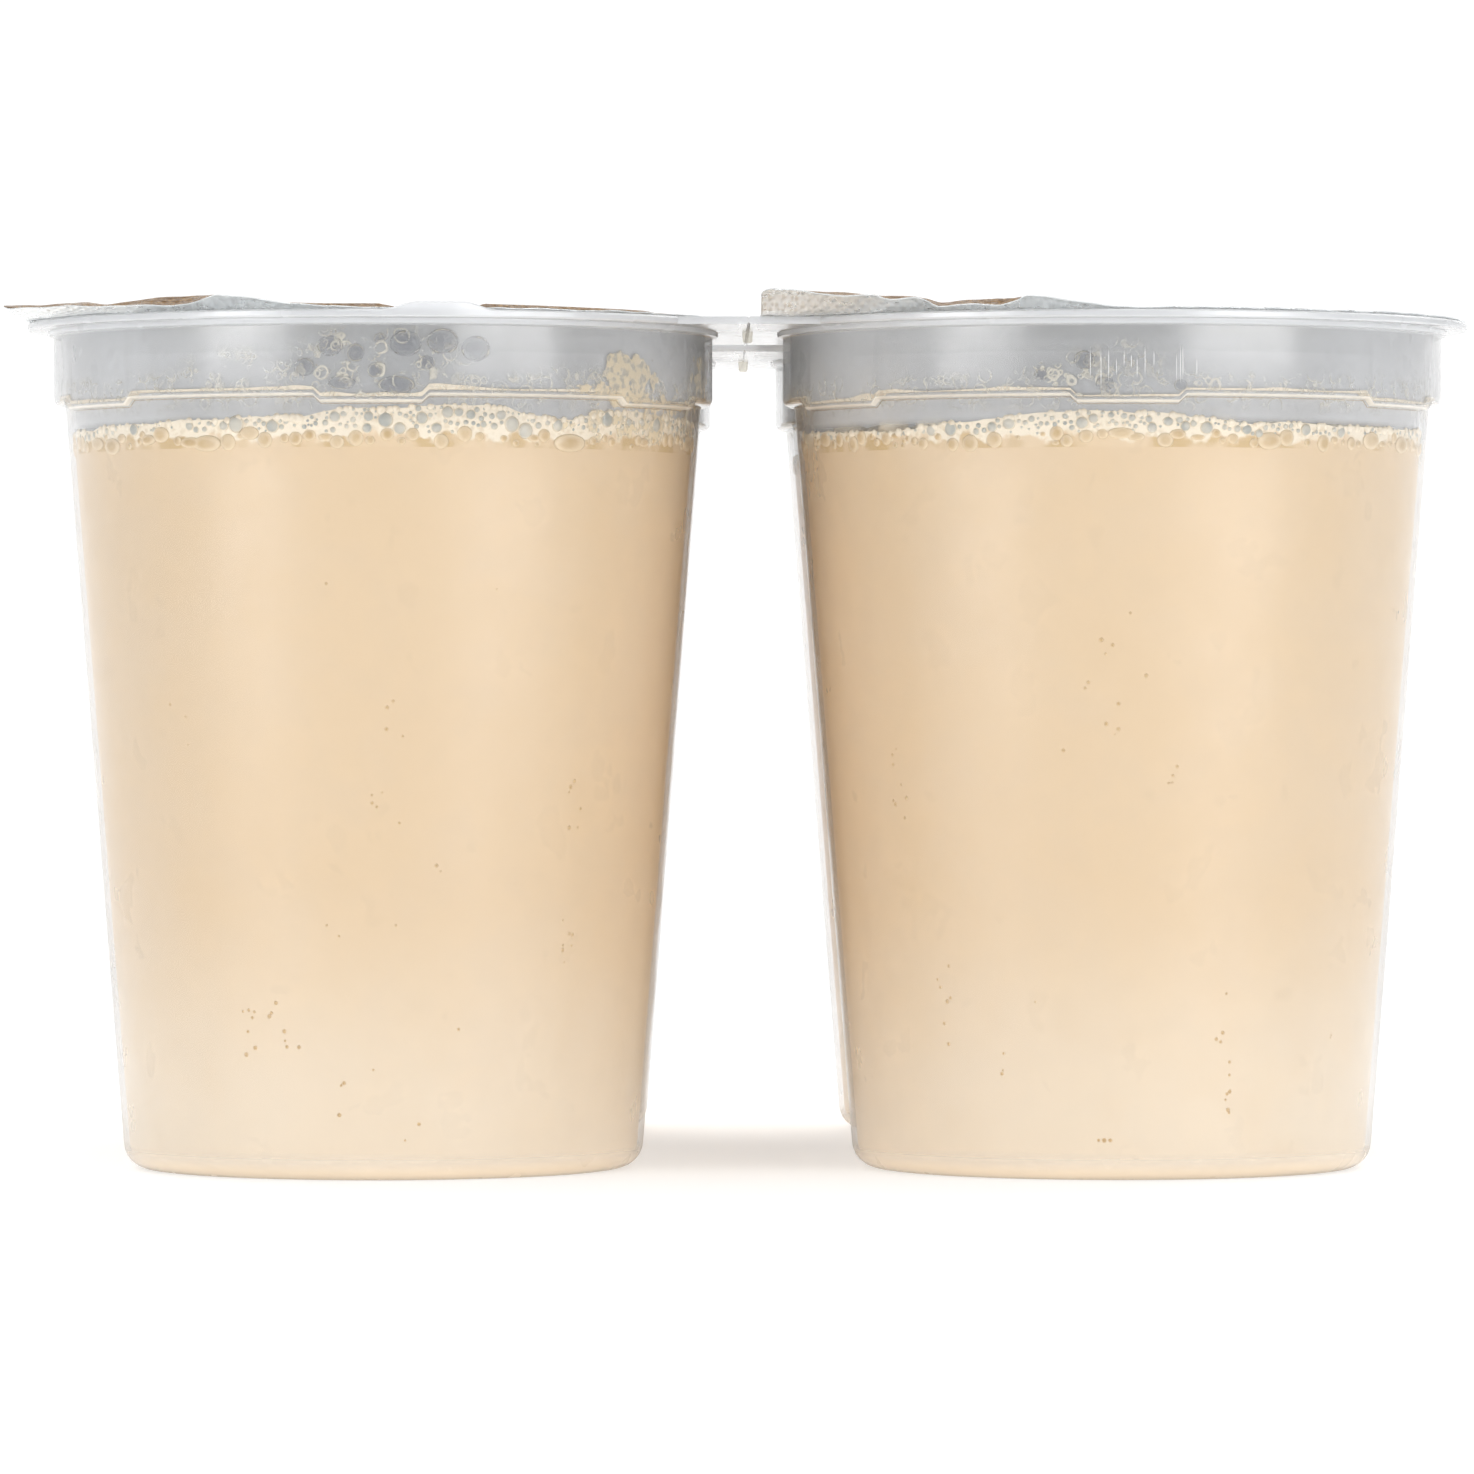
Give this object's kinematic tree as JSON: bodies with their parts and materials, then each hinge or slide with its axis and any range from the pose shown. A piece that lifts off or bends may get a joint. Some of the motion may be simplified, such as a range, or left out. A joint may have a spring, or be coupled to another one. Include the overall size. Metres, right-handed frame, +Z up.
{
  "type": "yogurt pot multipack",
  "caption": "Block of tapered see-through pots joined by a snap-apart web, filled with a foamy cream dessert and sealed with crinkled foil lids.",
  "frame": {"origin": "middle of the block, on the plane its four feet stand on", "axes": "+Z up along the pots' axes, +X to the right and -Y towards the front, where the peel tabs of the front row show"},
  "size_m": [0.1264, 0.1265, 0.0762],
  "materials": {
    "clear_plastic": "thin translucent polypropylene, smooth outside, slightly hazy",
    "cream": "smooth pale beige dessert",
    "froth": "paler beige foam of fine and coarse bubbles",
    "foil": "embossed aluminium foil with a brown lacquer on top and bare silver under the curled corners"
  },
  "bodies": {
    "root": {"cup_block": "clear_plastic", "filling_front_left": "cream", "filling_front_right": "cream", "filling_back_left": "cream", "filling_back_right": "cream", "foam_front_left": "froth", "foam_front_right": "froth", "foam_back_left": "froth", "foam_back_right": "froth", "lid_front_left": "foil", "lid_front_right": "foil", "lid_back_left": "foil", "lid_back_right": "foil"}
  },
  "joints": []
}
